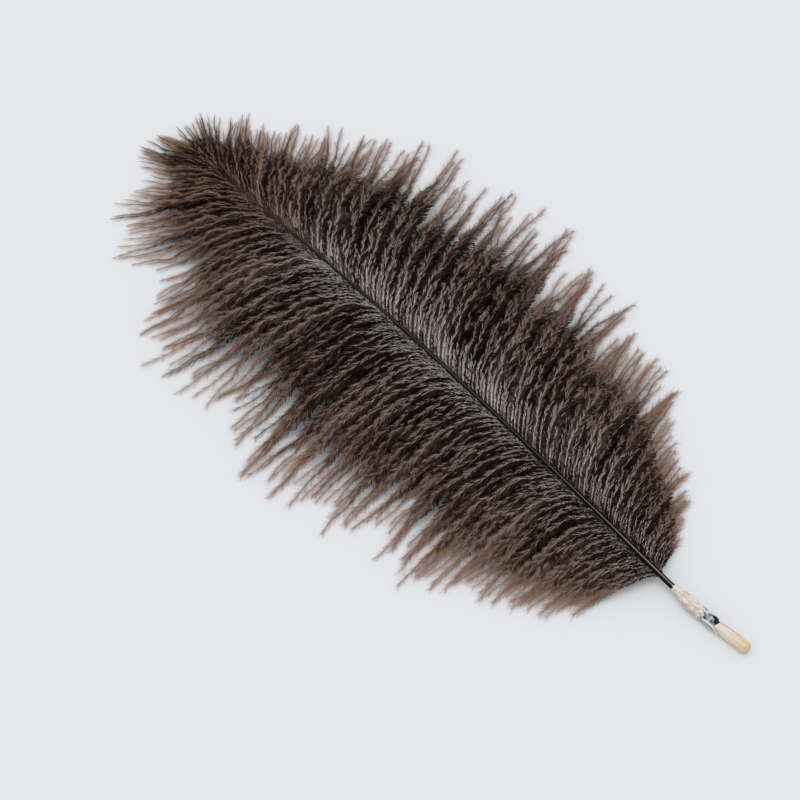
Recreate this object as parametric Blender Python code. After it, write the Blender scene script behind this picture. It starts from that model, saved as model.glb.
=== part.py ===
"""An ostrich plume lying on a table, as one grown piece: a bare quill, an arched shaft and two soft vanes.

Metres, +Z up. The shaft runs along +Y from the quill's end to the tip, and +X is the right-hand vane.
The barbs are gathered into locks. Each lock springs from the shaft, rises beside it, falls and comes to
rest on the table, where it is pressed flat. Near the shaft the locks of a vane hang together, and further
out they part into separate points. Vanes, tip and shaft are joined, so the feather is one closed solid.
"""

import math
import random

import bmesh
import bpy
from mathutils import Vector

# The shaft's centre line, from the quill's end to the tip: (along, sideways, height above the table).
# The quill's end lies on the table, the shaft arches over it, and the tip hooks a little to the right.
SHAFT_LINE = (
    (0.0000, 0.0000, 0.00122),
    (0.0060, -0.0004, 0.00124),
    (0.0125, -0.0008, 0.00150),
    (0.0225, -0.0008, 0.00215),
    (0.0450, 0.0000, 0.0039),
    (0.0700, 0.0006, 0.0060),
    (0.0950, 0.0010, 0.0078),
    (0.1200, 0.0012, 0.0087),
    (0.1450, 0.0014, 0.0082),
    (0.1650, 0.0022, 0.0062),
    (0.1800, 0.0031, 0.0036),
)
SHAFT_LENGTH = SHAFT_LINE[-1][0]
QUILL_LENGTH = 0.0225

# Thickness of the shaft: (distance from the quill's end, radius).
QUILL_RADII = (
    (0.0000, 0.0007),
    (0.0004, 0.0012),
    (0.0012, 0.00142),
    (0.0034, 0.00140),
    (0.0055, 0.00137),
    (0.0082, 0.00125),
    (0.0084, 0.0011),
    (0.0105, 0.0011),
    (0.0126, 0.00115),
    (0.0128, 0.00145),
    (0.0148, 0.00150),
    (0.0190, 0.00140),
    (0.0223, 0.00120),
    (0.0230, 0.00105),
    (0.0238, 0.00085),
)
SHAFT_TIP_RADIUS = 0.00025
SHAFT_RINGS = 18
SHAFT_SIDES = 12

# The vanes. v runs from 0 at the lowest lock to 1 at the tip: (v, length of a lock there).
LOCKS_PER_SIDE = 32
VANE_END = 0.975  # of the shaft's length, where the last pair of locks springs
RIGHT_LENGTHS = (
    (0.0, 0.009), (0.06, 0.026), (0.16, 0.044), (0.35, 0.056), (0.58, 0.054), (0.80, 0.042), (1.0, 0.023),
)
LEFT_LENGTHS = (
    (0.0, 0.021), (0.10, 0.035), (0.26, 0.045), (0.45, 0.050), (0.65, 0.050), (0.84, 0.041), (1.0, 0.023),
)

# How a lock turns away from the shaft, in degrees: (v, angle).
ROOT_ANGLES = ((0.0, 50.0), (0.6, 42.0), (0.88, 30.0), (1.0, 14.0))
RIGHT_END_ANGLES = ((0.0, 84.0), (0.45, 82.0), (0.75, 68.0), (0.92, 46.0), (1.0, 26.0))
LEFT_END_ANGLES = ((0.0, 92.0), (0.45, 98.0), (0.75, 78.0), (0.92, 50.0), (1.0, 26.0))
TURN_SOONER = 0.45  # under 1, most of the turn comes near the shaft

# The barbs past the end of the shaft: the line from its root to its point, and (u, full width).
TIP_LINE = ((0.176, 0.0029, 0.0042), (0.183, 0.0030, 0.0032), (0.190, 0.0024, 0.0020), (0.200, 0.0006, 0.0003))
TIP_WIDTHS = ((0.0, 0.0016), (0.35, 0.0040), (0.75, 0.0032), (1.0, 0.0007))

# Along a lock, u runs from 0 at its root to 1 at its tip.
STATIONS = (0.0, 0.07, 0.16, 0.28, 0.40, 0.52, 0.64, 0.76, 0.90, 1.0)
FIRST_SPLIT, LAST_SPLIT = 3, 6  # the stations between which neighbouring locks part
LOCK_HEIGHTS = ((0.0, 0.0006), (0.16, 0.0024), (0.52, 0.0030), (0.9, 0.0020), (1.0, 0.0008))
EDGE_HEIGHT = 0.55  # of a lock's height, where it meets its neighbour
GROOVES = ((0.0, 0.0), (0.16, 0.0005), (0.52, 0.0011), (0.86, 0.0))  # their depth between two locks
TIP_WIDTH = 0.10  # of a lock's full width
ROOT_LIFT = 0.0036
END_HEIGHT = 0.0002  # of a lock's centre line, where the lock lies on the table
REST_FROM = 0.82  # of a lock's length
SETTLE = 1.7  # above 1, a lock stays high before it falls to the table
RISE_SOONER = 0.7  # under 1, the rise is nearer the shaft
ROOT_DEPTH = 0.15  # of the shaft's radius, by which a vane passes the shaft's middle

LENGTH_SPREAD = 0.08
ANGLE_SPREAD = 1.8
LIFT_SPREAD = 0.25
SEED = 7

VANE_COLOUR = (0.060, 0.042, 0.032, 1.0)
VANE_ROUGHNESS = 0.85


def between(pairs, x):
    """The value at x on a smooth curve through these (place, value) pairs."""
    for (x0, y0), (x1, y1) in zip(pairs, pairs[1:]):
        if x <= x1:
            share = min(max((x - x0) / (x1 - x0), 0.0), 1.0)
            return y0 + (y1 - y0) * share * share * (3.0 - 2.0 * share)
    return pairs[-1][1]


def along(pairs, x):
    """The value at x on straight lines through these (place, value) pairs."""
    for (x0, y0), (x1, y1) in zip(pairs, pairs[1:]):
        if x <= x1:
            return y0 + (y1 - y0) * min(max((x - x0) / (x1 - x0), 0.0), 1.0)
    return pairs[-1][1]


def line_point(line, y):
    """The point at y on a smooth line through these (along, sideways, height) points."""
    places = [Vector((side, reach, height)) for reach, side, height in line]
    places = [2.0 * places[0] - places[1]] + places + [2.0 * places[-1] - places[-2]]
    for i in range(1, len(places) - 2):
        low, high = places[i], places[i + 1]
        if y <= high.y or i == len(places) - 3:
            share = (y - low.y) / (high.y - low.y)
            rise_in = (high - places[i - 1]) / (high.y - places[i - 1].y)
            rise_out = (places[i + 2] - low) / (places[i + 2].y - low.y)
            gap = high.y - low.y
            keep = (1.0 + 2.0 * share) * (1.0 - share) ** 2
            swing_in = share * (1.0 - share) ** 2 * gap
            swing_out = share**2 * (share - 1.0) * gap
            return low * keep + high * (1.0 - keep) + rise_in * swing_in + rise_out * swing_out


def shaft_point(t):
    """A point on the shaft's centre line. t is 0 at the quill's end and 1 at the tip."""
    return line_point(SHAFT_LINE, SHAFT_LENGTH * t)


def shaft_direction(t):
    step = 1e-3
    return (shaft_point(min(t + step, 1.0)) - shaft_point(max(t - step, 0.0))).normalized()


def shaft_radius(t):
    return along(QUILL_RADII + ((SHAFT_LENGTH, SHAFT_TIP_RADIUS),), SHAFT_LENGTH * t)


def section_axes(direction):
    """The level direction across a line, and the direction square to both."""
    across = direction.cross(Vector((0.0, 0.0, 1.0))).normalized()
    return across, across.cross(direction)


def pressed(point):
    """The point, or where the table stops it."""
    return Vector((point.x, point.y, max(point.z, 0.0)))


def mesh_object(name, bm):
    bmesh.ops.recalc_face_normals(bm, faces=bm.faces)
    mesh = bpy.data.meshes.new(name)
    bm.to_mesh(mesh)
    bm.free()
    made = bpy.data.objects.new(name, mesh)
    bpy.context.scene.collection.objects.link(made)
    return made


def loft(name, rings):
    """Joins rings of points into one closed skin with flat ends."""
    bm = bmesh.new()
    loops = [[bm.verts.new(pressed(point)) for point in ring] for ring in rings]
    count = len(loops[0])
    for first, second in zip(loops, loops[1:]):
        for i in range(count):
            j = (i + 1) % count
            bm.faces.new((first[i], first[j], second[j], second[i]))
    bm.faces.new(loops[0][::-1])
    bm.faces.new(loops[-1])
    return mesh_object(name, bm)


def make_shaft():
    """The quill and the shaft: one round tapering rod along the arch."""
    stations = list(QUILL_RADII)
    start, thick = stations[-1]
    for i in range(1, SHAFT_RINGS + 1):
        share = i / SHAFT_RINGS
        stations.append((start + (SHAFT_LENGTH - start) * share, thick + (SHAFT_TIP_RADIUS - thick) * share))
    rings = []
    for distance, radius in stations:
        t = distance / SHAFT_LENGTH
        centre, (across, above) = shaft_point(t), section_axes(shaft_direction(t))
        ring = []
        for k in range(SHAFT_SIDES):
            turn = 2.0 * math.pi * (k + 0.5) / SHAFT_SIDES
            ring.append(centre + radius * (math.cos(turn) * across + math.sin(turn) * above))
        rings.append(ring)
    return loft("feather", rings)


def settled(root_z, u, lift):
    """The height of a lock's centre line: a rise beside the shaft, a fall, and a rest on the table."""
    share = min(u / REST_FROM, 1.0)
    fall = 1.0 - share**SETTLE
    return END_HEIGHT + (root_z - END_HEIGHT) * fall + lift * math.sin(math.pi * share**RISE_SOONER)


def lock_path(t, v, side, length, end_angles, swing, lift):
    """The points at the stations of a lock's centre line, from the shaft to its tip on the table."""
    root = shaft_point(t)
    forward = shaft_direction(t)
    heading = math.atan2(forward.x, forward.y)
    start, end = between(ROOT_ANGLES, v), between(end_angles, v) + swing
    place = Vector((root.x - side * ROOT_DEPTH * shaft_radius(t), root.y, 0.0))
    steps = 100
    line = []
    for step in range(steps + 1):
        u = step / steps
        line.append(Vector((place.x, place.y, settled(root.z, u, lift))))
        turn = heading + side * math.radians(start + (end - start) * u**TURN_SOONER)
        place += Vector((math.sin(turn), math.cos(turn), 0.0)) * (length / steps)
    return [line[round(u * steps)] for u in STATIONS]


def make_vane(name, side, lengths, end_angles, chance):
    """One vane: locks side by side, sharing their edges near the shaft and parted further out."""
    base = QUILL_LENGTH / SHAFT_LENGTH
    paths = []
    for i in range(LOCKS_PER_SIDE):
        v = (i + 0.5) / LOCKS_PER_SIDE
        t = base + (VANE_END - base) * v
        length = between(lengths, v) * (1.0 + chance.uniform(-LENGTH_SPREAD, LENGTH_SPREAD))
        swing = chance.uniform(-ANGLE_SPREAD, ANGLE_SPREAD)
        lift = ROOT_LIFT * (1.0 + chance.uniform(-LIFT_SPREAD, LIFT_SPREAD)) * (1.0 - 0.6 * v**4)
        paths.append(lock_path(t, v, side, length, end_angles, swing, lift))
    edges = []
    for low, high in zip(paths, paths[1:]):
        grooves = [Vector((0.0, 0.0, between(GROOVES, u))) for u in STATIONS]
        edges.append([(a + b) / 2.0 - groove for a, b, groove in zip(low, high, grooves)])
    first = [2.0 * a - b for a, b in zip(paths[0], edges[0])]
    last = [2.0 * a - b for a, b in zip(paths[-1], edges[-1])]
    edges = [first] + edges + [last]
    splits = [0] + [chance.randint(FIRST_SPLIT, LAST_SPLIT) for _ in edges[1:-1]] + [0]

    bm = bmesh.new()

    def pair(point, half):
        """The upper and the lower corner of the skin at a point."""
        rise = Vector((0.0, 0.0, half))
        return bm.verts.new(pressed(point + rise)), bm.verts.new(pressed(point - rise))

    def thickness(j):
        return between(LOCK_HEIGHTS, STATIONS[j]) / 2.0

    shared = []
    for edge, split in zip(edges, splits):
        shared.append([pair(edge[j], EDGE_HEIGHT * thickness(j)) for j in range(split + 1)])

    def side_column(i, k):
        """The corners of lock i along its edge k, which draws in to the lock's own point past the split."""
        column = list(shared[k])
        split = splits[k]
        for j in range(split + 1, len(STATIONS)):
            share = (STATIONS[j] - STATIONS[split]) / (1.0 - STATIONS[split])
            width = 1.0 - (1.0 - TIP_WIDTH) * share**1.5
            point = paths[i][j].lerp(edges[k][j], width)
            column.append(pair(point, EDGE_HEIGHT * thickness(j)))
        return column

    for i, path in enumerate(paths):
        low, high = side_column(i, i), side_column(i, i + 1)
        middle = [pair(path[j], thickness(j)) for j in range(len(STATIONS))]
        for j in range(len(STATIONS) - 1):
            for one, two in ((low, middle), (middle, high)):
                bm.faces.new((one[j][0], one[j + 1][0], two[j + 1][0], two[j][0]))
                bm.faces.new((one[j][1], two[j][1], two[j + 1][1], one[j + 1][1]))
            for column, split in ((low, splits[i]), (high, splits[i + 1])):
                if j >= split:
                    bm.faces.new((column[j][0], column[j][1], column[j + 1][1], column[j + 1][0]))
        for one, two in ((low, middle), (middle, high)):
            bm.faces.new((one[0][0], two[0][0], two[0][1], one[0][1]))
        bm.faces.new([c[-1][0] for c in (low, middle, high)] + [c[-1][1] for c in (high, middle, low)])
    return mesh_object(name, bm)


def make_tip():
    """The barbs that carry on past the end of the shaft."""
    low, high = TIP_LINE[0][0], TIP_LINE[-1][0]
    outline = ((1, 0), (0.4, 1), (-0.4, 1), (-1, 0), (-0.4, -1), (0.4, -1))
    rings = []
    for u in (0.0, 0.15, 0.3, 0.5, 0.7, 0.85, 1.0):
        centre = line_point(TIP_LINE, low + (high - low) * u)
        wide, thick = between(TIP_WIDTHS, u) / 2.0, max(between(LOCK_HEIGHTS, u), 0.0008) / 2.0
        rings.append([centre + Vector((wide * x, 0.0, thick * z)) for x, z in outline])
    return loft("tip", rings)


def join(feather, helpers):
    """Joins the helpers to the shaft."""
    for helper in helpers:
        union = feather.modifiers.new(helper.name, "BOOLEAN")
        union.operation = "UNION"
        union.solver = "EXACT"
        union.object = helper
        helper.hide_render = True
        helper.display_type = "WIRE"


def stand_on_origin(feather):
    """Moves everything so that the middle of the feather's footprint is the origin."""
    bpy.context.view_layer.update()
    shape = feather.evaluated_get(bpy.context.evaluated_depsgraph_get())
    mesh = shape.to_mesh()
    corners = [vertex.co.copy() for vertex in mesh.vertices]
    shape.to_mesh_clear()
    low = Vector(min(corner[axis] for corner in corners) for axis in range(3))
    high = Vector(max(corner[axis] for corner in corners) for axis in range(3))
    middle = (low + high) / 2.0
    for thing in bpy.data.objects:
        thing.location = (-middle.x, -middle.y, 0.0)


def vane_material():
    material = bpy.data.materials.new("plume")
    material.use_nodes = True
    surface = material.node_tree.nodes["Principled BSDF"]
    surface.inputs["Base Color"].default_value = VANE_COLOUR
    surface.inputs["Roughness"].default_value = VANE_ROUGHNESS
    surface.inputs["Metallic"].default_value = 0.0
    return material


def main():
    for thing in list(bpy.data.objects):
        bpy.data.objects.remove(thing)
    chance = random.Random(SEED)
    feather = make_shaft()
    right = make_vane("right_vane", 1, RIGHT_LENGTHS, RIGHT_END_ANGLES, chance)
    left = make_vane("left_vane", -1, LEFT_LENGTHS, LEFT_END_ANGLES, chance)
    join(feather, (right, left, make_tip()))
    stand_on_origin(feather)
    feather.data.materials.append(vane_material())


main()
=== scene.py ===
"""A loose ostrich plume on a pale table: its bare quill, thin dark shaft and two vanes of fluffy barbs."""

import math
import random
from collections import namedtuple

import bmesh
import bpy
import numpy as np
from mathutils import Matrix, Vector, noise


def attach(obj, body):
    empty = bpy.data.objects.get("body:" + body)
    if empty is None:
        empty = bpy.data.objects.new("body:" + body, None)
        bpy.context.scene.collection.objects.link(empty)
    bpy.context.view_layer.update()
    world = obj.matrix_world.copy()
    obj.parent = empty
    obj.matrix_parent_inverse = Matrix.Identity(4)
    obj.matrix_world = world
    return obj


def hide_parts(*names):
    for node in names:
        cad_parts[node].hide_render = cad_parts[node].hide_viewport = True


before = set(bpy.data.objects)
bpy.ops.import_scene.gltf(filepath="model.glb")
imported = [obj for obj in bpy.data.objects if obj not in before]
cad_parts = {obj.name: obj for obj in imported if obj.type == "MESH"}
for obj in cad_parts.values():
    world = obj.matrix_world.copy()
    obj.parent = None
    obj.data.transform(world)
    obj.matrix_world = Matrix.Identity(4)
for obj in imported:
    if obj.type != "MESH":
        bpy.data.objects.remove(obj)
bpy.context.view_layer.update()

# ---------------------------------------------------------------------------
# The feather's form, in metres. The solid is made from the same values, but for those at 1.02 of the
# vane, past its own, and the left barbs' first angles.
# ---------------------------------------------------------------------------

# The quill's end, seen from the middle of the feather's footprint.
QUILL_END = Vector((-0.0027024, -0.0999772, 0.0))

# The shaft's centre line, from the quill's end to the tip: (along, sideways, height above the table).
SHAFT_LINE = (
    (0.0000, 0.0000, 0.00122),
    (0.0060, -0.0004, 0.00124),
    (0.0125, -0.0008, 0.00150),
    (0.0225, -0.0008, 0.00215),
    (0.0450, 0.0000, 0.0039),
    (0.0700, 0.0006, 0.0060),
    (0.0950, 0.0010, 0.0078),
    (0.1200, 0.0012, 0.0087),
    (0.1450, 0.0014, 0.0082),
    (0.1650, 0.0022, 0.0062),
    (0.1800, 0.0031, 0.0036),
)
SHAFT_LENGTH = SHAFT_LINE[-1][0]
QUILL_LENGTH = 0.0225
# Thickness of the shaft: (distance from the quill's end, radius).
CALAMUS_RADII = (
    (0.0000, 0.0007), (0.0004, 0.0012), (0.0012, 0.00142), (0.0034, 0.00140), (0.0055, 0.00137),
    (0.0082, 0.00125),
)
COLLAR_RADII = ((0.0084, 0.0011), (0.0105, 0.0011), (0.0126, 0.00115))
SHEATH_RADII = (
    (0.0128, 0.00142), (0.0148, 0.00148), (0.0175, 0.00128), (0.0198, 0.00098), (0.0207, 0.00084),
)
RACHIS_RADII = ((0.0200, 0.00068), (0.1000, 0.00052), (SHAFT_LENGTH, 0.00022))
CALAMUS_END = 0.0088
COLLAR_START, COLLAR_LENGTH = 0.0082, 0.0050

# The vanes: how long the barbs are by place on the vane, and how far they turn from the shaft where they
# spring and where they end, in degrees. The solid gathers them in locks.
LOCKS_PER_SIDE = 32
VANE_START = QUILL_LENGTH / SHAFT_LENGTH
VANE_END = 0.975  # of the shaft's length, where the last pair of locks springs
BARBS_START, BARBS_END = 0.016, 1.02  # of the vane, where the first and last barbs spring
RIGHT_LENGTHS = (
    (0.0, 0.009), (0.06, 0.026), (0.16, 0.044), (0.35, 0.056), (0.58, 0.054), (0.80, 0.042), (1.0, 0.023),
    (1.02, 0.018),
)
LEFT_LENGTHS = (
    (0.0, 0.021), (0.10, 0.035), (0.26, 0.045), (0.45, 0.050), (0.65, 0.050), (0.84, 0.041), (1.0, 0.023),
    (1.02, 0.018),
)
ROOT_ANGLES = ((0.0, 50.0), (0.6, 42.0), (0.88, 30.0), (1.0, 14.0), (1.02, 4.0))
RIGHT_END_ANGLES = ((0.0, 84.0), (0.45, 82.0), (0.75, 68.0), (0.92, 46.0), (1.0, 26.0), (1.02, 6.0))
LEFT_END_ANGLES = (
    (0.0, 82.0), (0.14, 93.0), (0.45, 98.0), (0.75, 78.0), (0.92, 50.0), (1.0, 26.0), (1.02, 10.0),
)
TURN_SOONER = 0.45  # below 1, so that a barb turns most beside the shaft
ROOT_LIFT = 0.0036  # how far it rises there
RISE_SOONER = 0.7  # below 1, so that it rises soon
SETTLE = 1.7  # above 1, so that it falls late
REST_FROM = 0.82  # of its length, where it comes to rest
END_HEIGHT = 0.0002
LENGTH_SPREAD = 0.08  # how much the locks differ
ANGLE_SPREAD = 1.8
LIFT_SPREAD = 0.25
FLATTER_TIP = 0.6  # how much less the last locks rise
FIRST_SPLIT, LAST_SPLIT = 3, 6
SEED = 7

# The barbs past the shaft's end: their middle, as the shaft's, and (place along it, width).
TIP_LINE = (
    (0.176, 0.0029, 0.0042), (0.183, 0.0030, 0.0032), (0.190, 0.0024, 0.0020), (0.200, 0.0006, 0.0003),
)
TIP_WIDTHS = ((0.0, 0.0016), (0.35, 0.0040), (0.75, 0.0032), (1.0, 0.0007))

# ---------------------------------------------------------------------------
# The barbs, one by one
# ---------------------------------------------------------------------------

BARBS_PER_SIDE, TIP_BARBS = 180, 18
BARB_DENSITY = (  # how close they stand
    (0.0, 2.2), (0.12, 1.6), (0.28, 1.05), (0.65, 1.0), (0.85, 1.5), (1.0, 2.4),
)
BARB_STEPS = 34
REACH = np.linspace(0.0, 1.0, BARB_STEPS + 1)  # the places along a barb, from the shaft to its end
ROOT_PLACE = 0.90  # of the shaft's radius, out from its middle, where a barb springs
GATHER = 0.03  # how far the barbs of a lock draw together at their ends
CLUMPS = (1, 2, 2, 2, 3)  # how many neighbours cling together
CLINGING = 0.50  # and how close
LAYERING = 0.0010  # how far above and below their lock's middle the barbs lie
SHARED_WAVE, OWN_WAVE, RISING_WAVE = 0.0007, 0.00036, 0.00034
WAVES_A_METRE = 90.0  # of the shared wave
OWN_WAVE_LENGTH, RISING_WAVE_LENGTH = 0.011, 0.010
TURN = 6.283  # once round, in radians
ANY_PHASE = (0.0, 6.3)
OWN_LENGTH = (-0.18, 0.06)  # how much shorter or longer than its lock a barb may be
LED_SWING = 0.4  # how much of its lock's swing it takes
OWN_SWING = ((0.0, 2.0), (0.05, 1.6), (0.14, 1.0), (1.0, 0.9))  # in degrees, by place on the shaft
BASE_CALM = ((0.0, 0.35), (0.20, 1.0))  # how much of their waves, layers and clinging the first barbs have
SHARED_CURL, OWN_CURL = 30.0, 20.0  # in degrees, the most that a barb's outer half curls to either side
FLYAWAYS = 0.06  # the share of barbs that stand off the rest
FLYAWAY_SWING = 6.0  # in degrees, the most to either side
FLYAWAY_LIFT = (0.0004, 0.0012)
LOWEST = 0.0006  # a barb's middle above the table, where its barbules hold it up
LEVELLING = 4000.0  # how sharply it levels off there
TABLE_SOFTNESS = 0.00025  # the height in which what would pass through the table bends along it

# What grows on a barb, by place along it, from 0 at the shaft to 1 at its end: a stem, and barbules in three
# rows. Those of the under row hang below, where they close the gaps; their dark tone is partly their own brown
# and partly painted shade for the gaps between the barbs. Strands are barbules that cling together, and show
# one by one; their light tone is partly painted highlight along the barbs' ridges. Fuzz is single threads.
# Real threads are about 0.02 mm wide and closer together; these are the finest that still show. Sizes are in
# metres, leans in degrees from the stem, a tone is added to the barb's own, and a share is how many of a
# row's barbules grow.
PROFILES = {
    "stem_radius": ((0.0, 0.00014), (0.3, 0.00012), (0.7, 0.00011), (0.9, 0.00009), (1.0, 0.00004)),
    "stem_tone": ((0.0, 0.05), (0.15, 0.0), (0.4, -0.14), (0.7, 0.06), (0.85, 0.22), (1.0, 0.30)),
    "under_length": (
        (0.0, 0.0013), (0.06, 0.0020), (0.3, 0.0026), (0.55, 0.0028), (0.66, 0.0021), (0.80, 0.0003),
        (1.0, 0.0),
    ),
    "under_width": (
        (0.0, 0.00036), (0.3, 0.00050), (0.48, 0.00050), (0.66, 0.00026), (0.8, 0.00008), (1.0, 0.00006),
    ),
    "under_lean": ((0.0, 38.0), (0.6, 42.0), (1.0, 36.0)),
    "under_tone": ((0.0, -0.30), (0.3, -0.27), (0.55, -0.20), (0.8, 0.03)),
    "under_share": ((0.0, 1.0),),
    "strand_length": (
        (0.0, 0.0009), (0.08, 0.0013), (0.25, 0.0018), (0.5, 0.0021), (0.68, 0.0021), (0.80, 0.0010),
        (0.86, 0.0),
    ),
    "strand_width": ((0.0, 0.00017), (0.35, 0.00016), (0.6, 0.00013), (0.8, 0.00009), (1.0, 0.00006)),
    "strand_lean": ((0.0, 17.0), (0.2, 18.0), (0.45, 18.0), (0.7, 23.0), (0.85, 36.0), (1.0, 34.0)),
    "strand_tone": ((0.0, 0.56), (0.10, 0.46), (0.3, 0.38), (0.6, 0.33), (0.8, 0.36), (1.0, 0.46)),
    "strand_share": ((0.0, 1.0),),
    "fuzz_length": (
        (0.0, 0.0006), (0.08, 0.0011), (0.25, 0.0016), (0.55, 0.0021), (0.85, 0.0023), (1.0, 0.0016),
    ),
    "fuzz_width": ((0.0, 0.00009), (0.5, 0.00008), (0.75, 0.000065), (1.0, 0.000055)),
    "fuzz_lean": ((0.0, 18.0), (0.2, 22.0), (0.5, 28.0), (0.75, 38.0), (0.9, 42.0), (1.0, 28.0)),
    "fuzz_tone": ((0.0, 0.06), (0.3, 0.0), (0.6, 0.03), (0.75, 0.28), (0.88, 0.44), (1.0, 0.50)),
    "fuzz_share": ((0.0, 0.42), (0.3, 0.42), (0.5, 1.0)),
}
TIP_FINENESS = ((0.70, 1.0), (0.88, 0.78), (1.0, 0.60))  # of the barbules, towards the feather's tip
RISE = (  # how much of their rise the barbs keep, by place on the shaft: they lie flatter at both its ends
    (0.0, 0.25), (0.05, 0.50), (0.14, 1.0), (0.65, 1.0), (0.90, 0.5), (1.0, 0.35),
)
BARE_ROOTS = ((0.0, 0.40), (0.10, 0.42), (0.22, 0.3), (0.38, 0.0))  # how far barbules shrink by the shaft
ROOT_SHADE = -0.50  # and this much of that is added to their tone
UNDER_START = ((0.0, 0.2), (0.06, 1.0))  # how much of the under row the vane's first barbs have
BARE_ENDS = ((0.45, 1.1), (0.8, 1.02), (1.0, 0.98))  # where a barb's barbules stop, by place on the shaft
FULLNESS = (0.85, 1.12)  # how long the barbules of one barb are beside the rest
TWIST = (0.5, 0.9)  # how far a barb twists to and fro, in radians
TWIST_LENGTH = (0.0022, 0.0042)  # and in what length
MEAN_TONE, TIP_TONE, TONE_SPREAD = 0.46, 0.57, 0.10  # of the barbs, from 0 for dark to 1 for light
LAYER_PAINTED_LIGHT = 0.08  # painted light: how much lighter the upper barbs are painted than the lower
SPECKLE_TONE = 0.14
SPECKLES_A_METRE = 500.0
BASE_SHADE = ((0.0, -0.06), (0.10, 0.0))  # added to a barb's tone, by place on the shaft
DOWNY_ENDS = ((0.0, 0.20), (0.12, 0.14), (0.30, 0.04), (0.6, 0.0))  # and to the tone of its end
# Painted light and shade added to a barb's tone: on the right, a painted grey sheen beside the shaft and
# painted shade further out; on the left, painted shade beside the shaft and painted light further out.
RIGHT_PAINTED_SHADING = ((0.0, 0.21), (0.07, 0.12), (0.16, -0.01), (0.45, -0.07))  # painted light and shade, by place along it, on the right
LEFT_PAINTED_SHADING = ((0.0, -0.13), (0.2, -0.09), (0.45, 0.05))  # and on the left
TIP_PAINTED_SHADING = ((0.0, 0.0),)  # and past the shaft's end, where none is painted
TIP_WARMTH = ((0.70, 0.0), (0.9, 0.5), (1.0, 0.75))  # how far its roots take the brown of its end

# Each row's spacing along the barb, how many neighbours on a side cling together, its droop from level, how
# much of the barb's twist it takes, and how far its lean, droop and tone stray, all angles in degrees.
Row = namedtuple("Row", "spacing tuft droop twist lean_spread droop_spread tone_spread")
ROWS = {
    "under": Row(0.27e-3, 4, 20.0, 0.2, 8.0, 14.0, 0.08),
    "strand": Row(0.20e-3, 1, -8.0, 1.0, 9.0, 20.0, 0.50),
    "fuzz": Row(0.106e-3, 3, 0.0, 1.0, 9.0, 22.0, 0.20),
}

# What sets a lock or a barb apart: its place on the shaft and on the vane, its length, its turn off the rest
# in degrees, its rise beside the shaft, and its outer half's curl in degrees.
Lock = namedtuple("Lock", "t v length swing lift curl")


def between(pairs, x):
    """The value at x on a smooth curve through these (place, value) pairs."""
    for (x0, y0), (x1, y1) in zip(pairs, pairs[1:]):
        if x <= x1:
            share = min(max((x - x0) / (x1 - x0), 0.0), 1.0)
            return y0 + (y1 - y0) * share * share * (3.0 - 2.0 * share)
    return pairs[-1][1]


def along(pairs, x):
    """The value at x on straight lines through these (place, value) pairs."""
    return np.interp(x, [place for place, _ in pairs], [value for _, value in pairs])


def ease(x, low, high):
    """From 0 below low to 1 above high, smoothly."""
    share = np.clip((x - low) / (high - low), 0.0, 1.0)
    return share * share * (3.0 - 2.0 * share)


def line_point(line, y):
    """The point at y on a smooth line through these (along, sideways, height) points."""
    places = [Vector((side, reach, height)) for reach, side, height in line]
    places = [2.0 * places[0] - places[1]] + places + [2.0 * places[-1] - places[-2]]
    for i in range(1, len(places) - 2):
        low, high = places[i], places[i + 1]
        if y <= high.y or i == len(places) - 3:
            share = (y - low.y) / (high.y - low.y)
            rise_in = (high - places[i - 1]) / (high.y - places[i - 1].y)
            rise_out = (places[i + 2] - low) / (places[i + 2].y - low.y)
            gap = high.y - low.y
            keep = (1.0 + 2.0 * share) * (1.0 - share) ** 2
            swing_in = share * (1.0 - share) ** 2 * gap
            swing_out = share**2 * (share - 1.0) * gap
            return QUILL_END + low * keep + high * (1.0 - keep) + rise_in * swing_in + rise_out * swing_out


def shaft_point(t):
    """A point on the shaft's centre line. t is 0 at the quill's end and 1 at the tip."""
    return line_point(SHAFT_LINE, SHAFT_LENGTH * t)


def shaft_direction(t):
    step = 1e-3
    return (shaft_point(min(t + step, 1.0)) - shaft_point(max(t - step, 0.0))).normalized()


def rachis_radius(t):
    return float(along(RACHIS_RADII, SHAFT_LENGTH * t))


def settled(root_z, u, lift):
    """The height of a lock's centre line: a rise beside the shaft, a fall, and a rest on the table."""
    share = np.minimum(u / REST_FROM, 1.0)
    fall = 1.0 - share**SETTLE
    return END_HEIGHT + (root_z - END_HEIGHT) * fall + lift * np.sin(math.pi * share**RISE_SOONER)


def outward_line(side, end_angles, lock):
    """A line from the shaft that turns outwards, rises beside it, falls and comes to rest on the table."""
    root, forward = shaft_point(lock.t), shaft_direction(lock.t)
    heading = math.atan2(forward.x, forward.y)
    start, end = between(ROOT_ANGLES, lock.v), between(end_angles, lock.v) + lock.swing
    u = np.arange(BARB_STEPS + 1) / BARB_STEPS
    turn = start + (end - start) * u**TURN_SOONER + lock.curl * ease(u, 0.45, 1.0)
    turn = heading + side * np.radians(turn)
    steps_taken = np.stack([np.sin(turn), np.cos(turn)], axis=1)[:-1] * (lock.length / BARB_STEPS)
    line = np.zeros((BARB_STEPS + 1, 3))
    line[1:, :2] = np.cumsum(steps_taken, axis=0)
    line[:, 0] += root.x
    line[:, 1] += root.y
    line[:, 2] = settled(root.z, u, lock.lift)
    return line


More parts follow.
